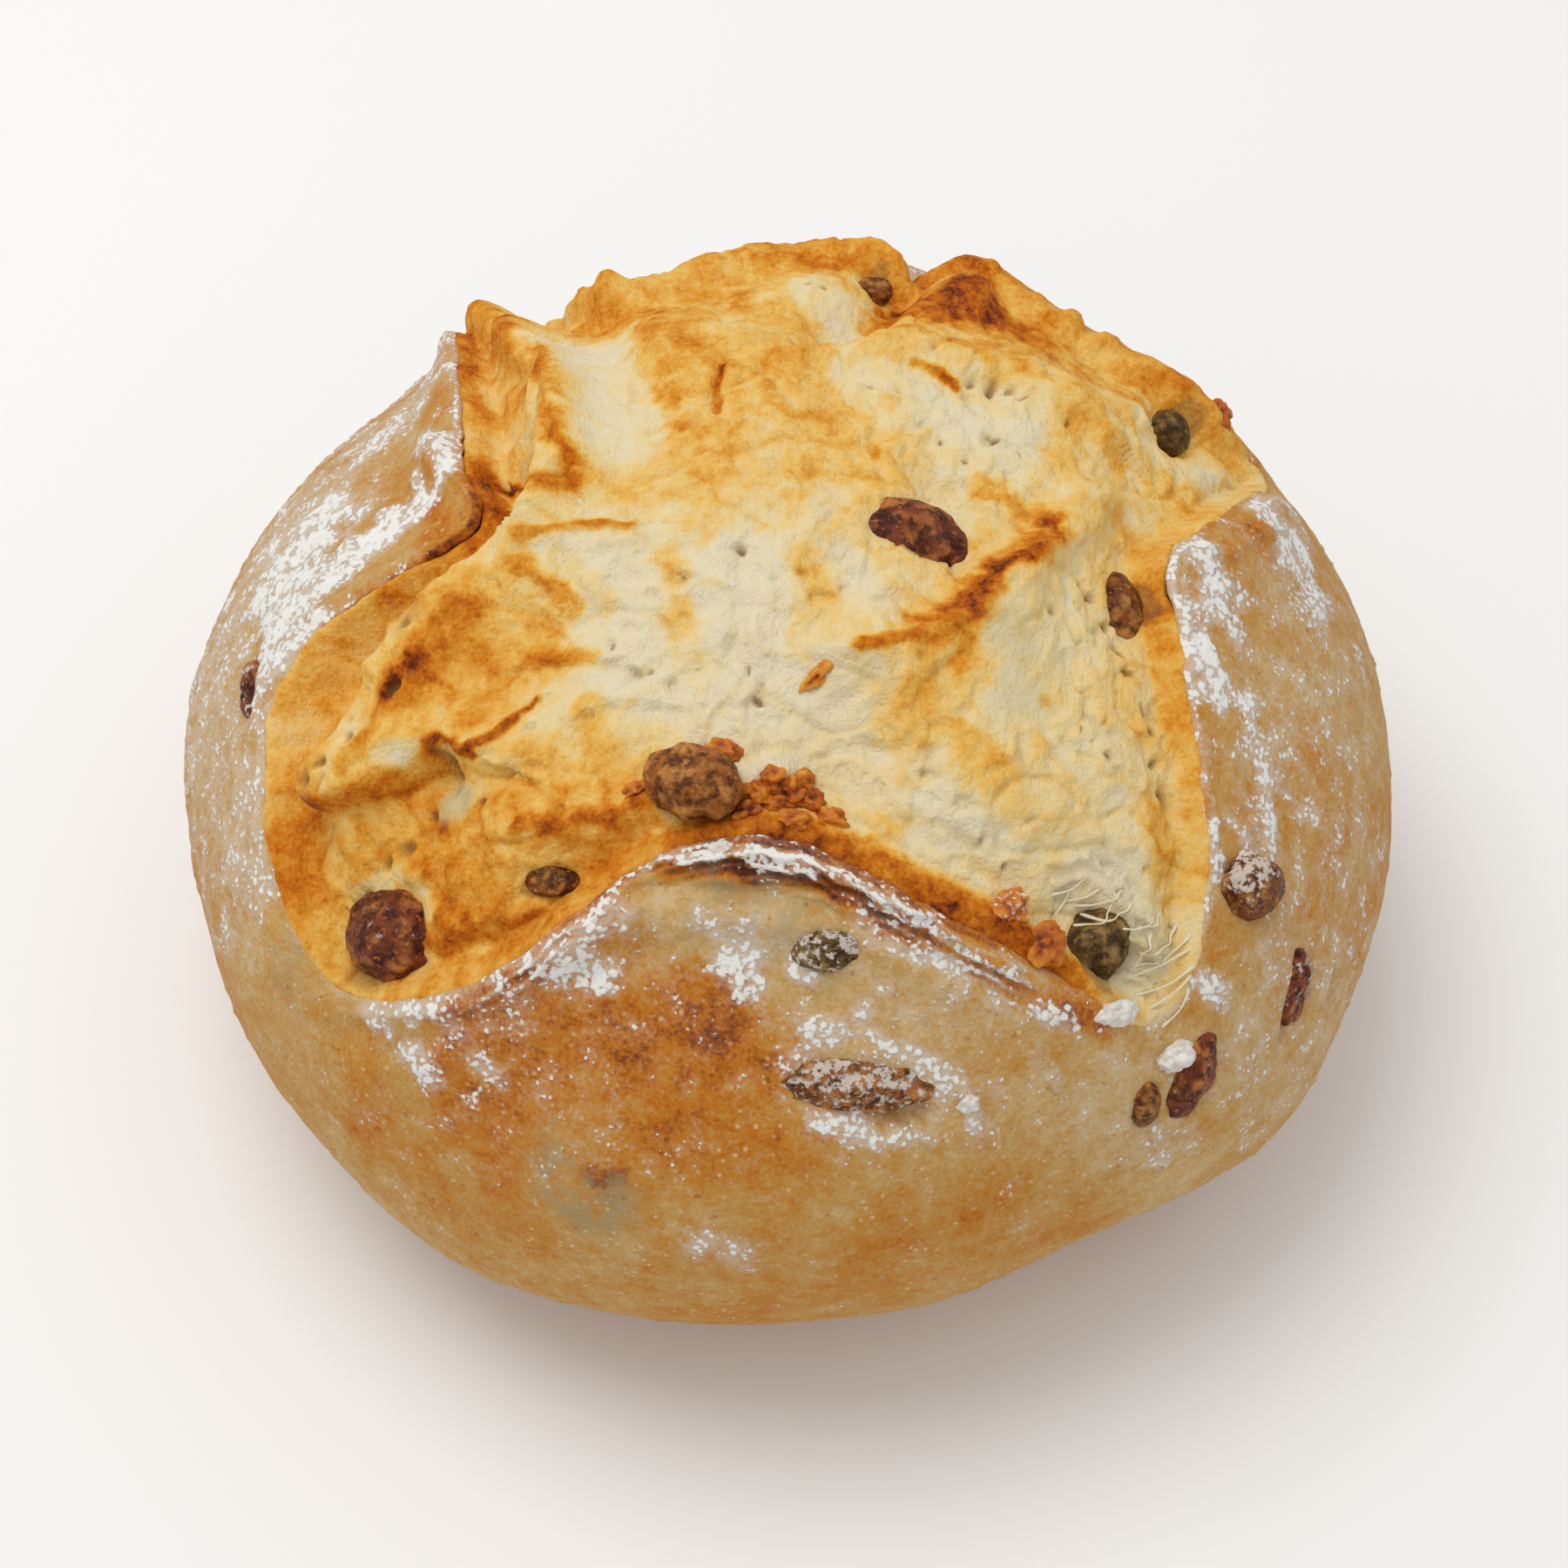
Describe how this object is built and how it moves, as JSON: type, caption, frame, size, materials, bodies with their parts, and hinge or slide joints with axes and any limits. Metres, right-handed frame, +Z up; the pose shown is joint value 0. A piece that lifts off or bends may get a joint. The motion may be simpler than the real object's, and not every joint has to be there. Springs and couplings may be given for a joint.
{
  "type": "olive bread",
  "caption": "Round crusty loaf of olive bread, cut crosswise on top so that the crust has burst open over pale crumb, dusted with flour and studded with olive pieces.",
  "frame": {"origin": "middle of the flat foot, under the centre of the loaf's box", "axes": "+Z up, -Y to the front, where the raised front petal of the crust points, +X to the right seen from the front"},
  "size_m": [0.1882, 0.189, 0.1145],
  "materials": {
    "crust": "baked crust with torn crumb",
    "olive_red": "moist, wrinkled",
    "olive_brown": "moist, wrinkled",
    "olive_green": "moist, wrinkled"
  },
  "bodies": {
    "root": {"loaf": "crust", "olive_middle": "olive_red", "olive_left_corner": "olive_red", "olive_front_tip": "olive_brown", "olive_right_dusted": "olive_brown", "olive_right_corner": "olive_green", "olive_right_wall": "olive_brown", "olive_front_slit": "olive_red", "olive_front_right": "olive_brown", "olive_front_right_small": "olive_brown", "olive_front_grey": "olive_green", "olive_left_ledge": "olive_green", "olive_left_crust": "olive_red", "olive_right_slit": "olive_red", "olive_back_edge": "olive_green", "olive_back_top": "olive_brown", "olive_rear_left": "olive_red", "olive_rear_right": "olive_brown"}
  },
  "joints": []
}
